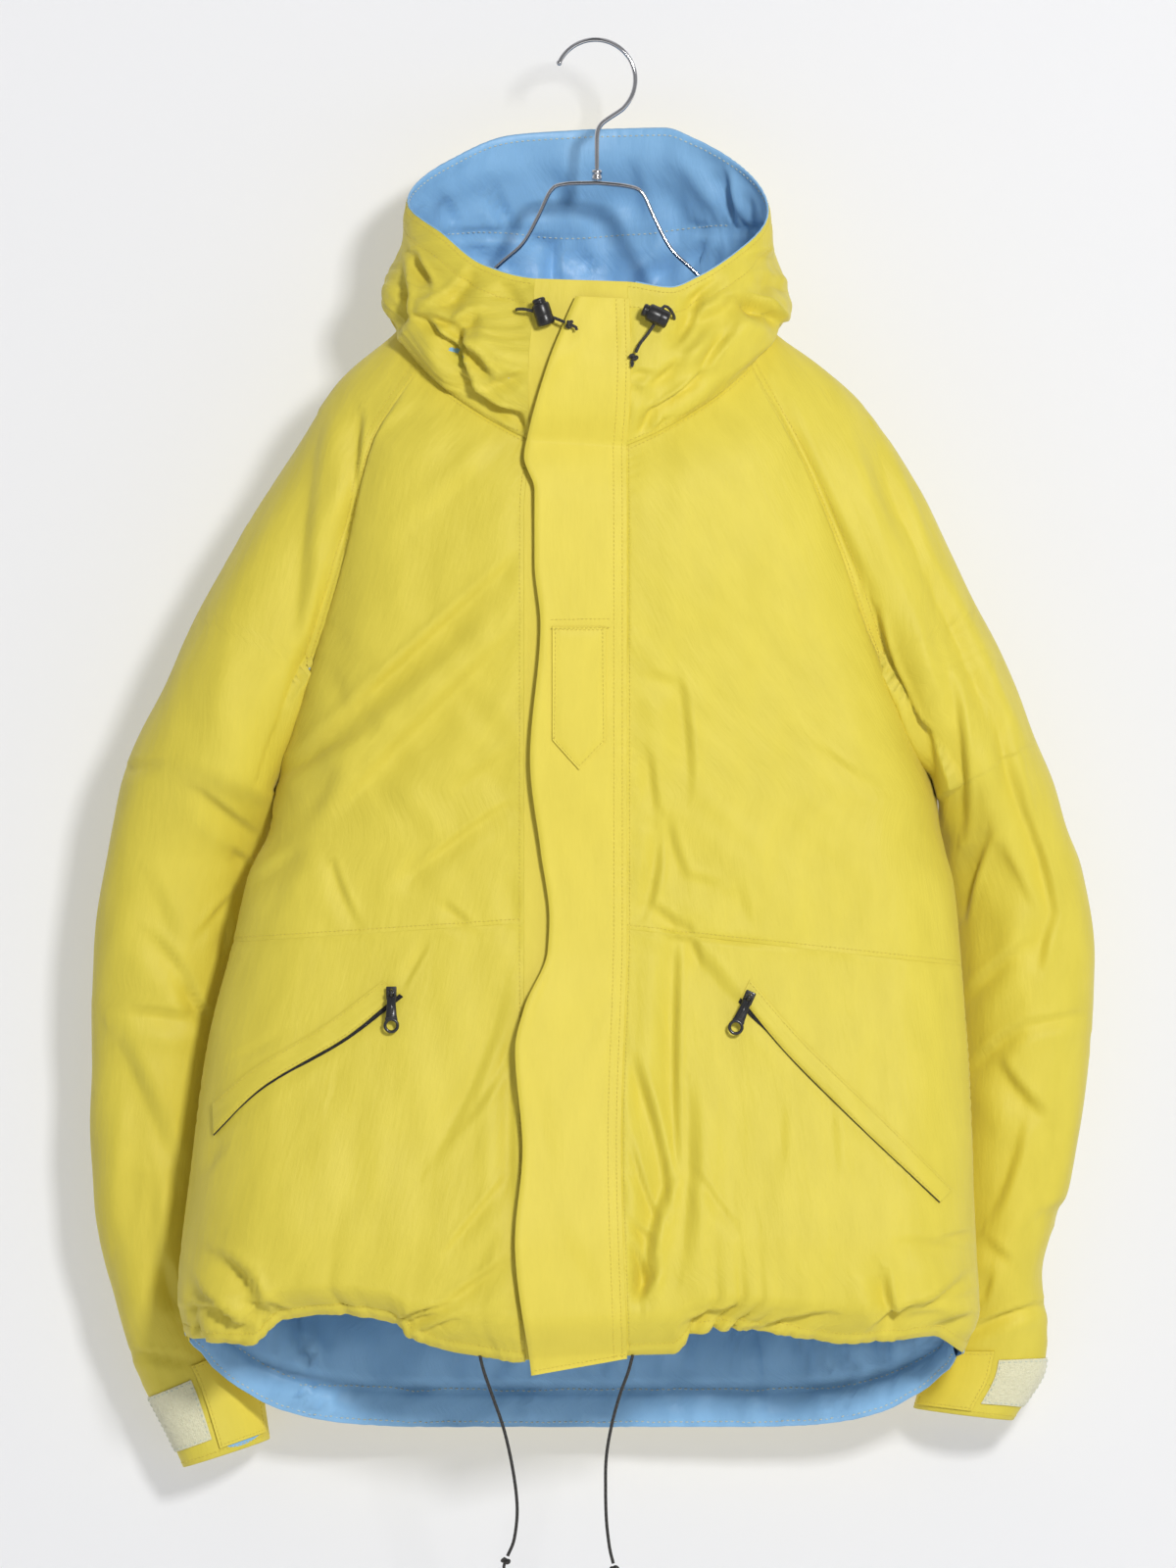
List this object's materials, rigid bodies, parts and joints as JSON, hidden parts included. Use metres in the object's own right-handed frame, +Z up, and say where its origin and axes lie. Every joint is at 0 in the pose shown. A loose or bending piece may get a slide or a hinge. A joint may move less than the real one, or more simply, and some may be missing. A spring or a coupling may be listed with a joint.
{
  "type": "hooded parka on a wire hanger",
  "caption": "Light hooded parka with a storm flap, raglan sleeves, slanted zip pockets and cord locks, hanging on a double-wire hanger with a chrome hook",
  "frame": {"origin": "the inside of the hanger hook's top, where a rail carries it", "axes": "+Z is up and runs the garment's length, the garment faces -Y, and +X is the wearer's left"},
  "size_m": [0.6798, 0.2051, 1.0341],
  "materials": {
    "shell_cloth": "fine yellow nylon with a slight sheen",
    "lining_cloth": "fine sky blue nylon",
    "hook_and_loop": "cream loop pile",
    "cord": "black braided cord",
    "lock_plastic": "black moulded plastic",
    "zip_metal": "black enamel, satin",
    "zip_tape": "black woven tape",
    "hanger_chrome": "polished chrome wire"
  },
  "bodies": {
    "parka": {"back_lining": "lining_cloth", "back_panel": "shell_cloth", "cord_lock_left": "lock_plastic", "cord_lock_right": "lock_plastic", "cuff_strip_left": "hook_and_loop", "cuff_strip_right": "hook_and_loop", "cuff_tab_left": "shell_cloth", "cuff_tab_right": "shell_cloth", "flap_tab": "shell_cloth", "front_lower_left": "shell_cloth", "front_lower_right": "shell_cloth", "front_upper_left": "shell_cloth", "front_upper_right": "shell_cloth", "hanger_ferrule": "hanger_chrome", "hanger_hook": "hanger_chrome", "hanger_wire": "hanger_chrome", "hem_cord_left": "cord", "hem_cord_right": "cord", "hem_knot_left": "cord", "hem_knot_right": "cord", "hood": "shell_cloth", "hood_cord_left": "cord", "hood_cord_right": "cord", "hood_knot_left": "cord", "hood_knot_right": "cord", "hood_lining": "lining_cloth", "pocket_welt_left": "shell_cloth", "pocket_welt_right": "shell_cloth", "pocket_zip_left": "zip_tape", "pocket_zip_right": "zip_tape", "sleeve_left": "shell_cloth", "sleeve_right": "shell_cloth", "storm_flap": "shell_cloth", "zip_placket": "shell_cloth", "zip_slider_left": "zip_metal", "zip_slider_right": "zip_metal"},
    "pull_right": {"zip_pull_right": "zip_metal"},
    "pull_left": {"zip_pull_left": "zip_metal"}
  },
  "joints": [
    {"name": "pull_right_swing", "type": "hinge", "parent": "parka", "child": "pull_right", "pos_m": [-0.138, -0.08816, -0.642], "axis": [-1, 0, 0], "range_deg": [0, 150]},
    {"name": "pull_left_swing", "type": "hinge", "parent": "parka", "child": "pull_left", "pos_m": [0.102, -0.08891, -0.645], "axis": [-0.9135, 0, 0.4067], "range_deg": [0, 150]}
  ]
}
